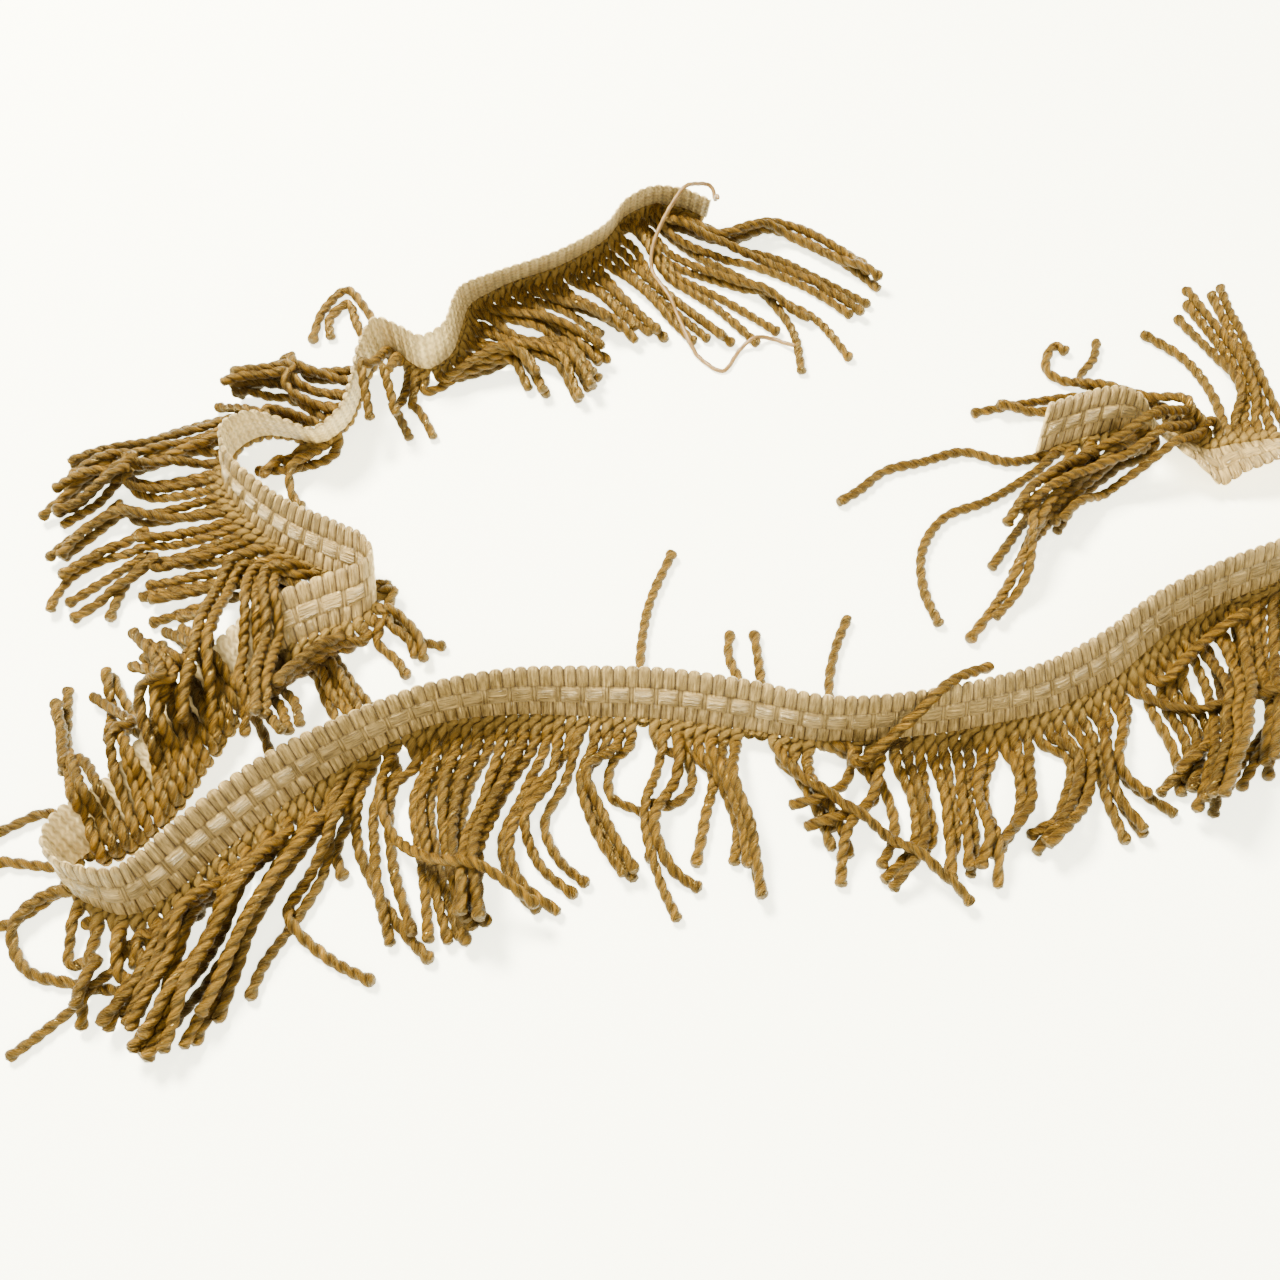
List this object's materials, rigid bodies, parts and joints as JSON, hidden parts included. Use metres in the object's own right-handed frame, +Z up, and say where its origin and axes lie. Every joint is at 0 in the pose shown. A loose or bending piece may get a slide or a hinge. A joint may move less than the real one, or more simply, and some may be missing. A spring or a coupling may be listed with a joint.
{
  "type": "cord fringe trim",
  "caption": "Length of furnishing trim lying loosely on a flat surface: a narrow ribbed woven header tape with a fringe of twisted cords along one edge.",
  "frame": {"origin": "on the surface that the trim lies on, at the middle of its bounding box in X and Y", "axes": "+Z up from the surface; X along the longest extent, with the open ends of the trim towards +X; the long front run of the header lies towards -Y, with its cords towards -Y"},
  "size_m": [0.3645, 0.2369, 0.022],
  "materials": {
    "woven_header": "satin",
    "twisted_cord": "satin"
  },
  "bodies": {
    "root": {"header_tape": "woven_header", "fringe_top_end": "twisted_cord", "fringe_top_run": "twisted_cord", "fringe_bend": "twisted_cord", "fringe_curl": "twisted_cord", "fringe_hairpin": "twisted_cord", "fringe_turned_over": "twisted_cord", "fringe_left_curl": "twisted_cord", "fringe_front_left": "twisted_cord", "fringe_front_middle": "twisted_cord", "fringe_front_right": "twisted_cord", "fringe_right_edge": "twisted_cord", "fringe_return": "twisted_cord", "fringe_right_end": "twisted_cord", "loose_thread": "twisted_cord"}
  },
  "joints": []
}
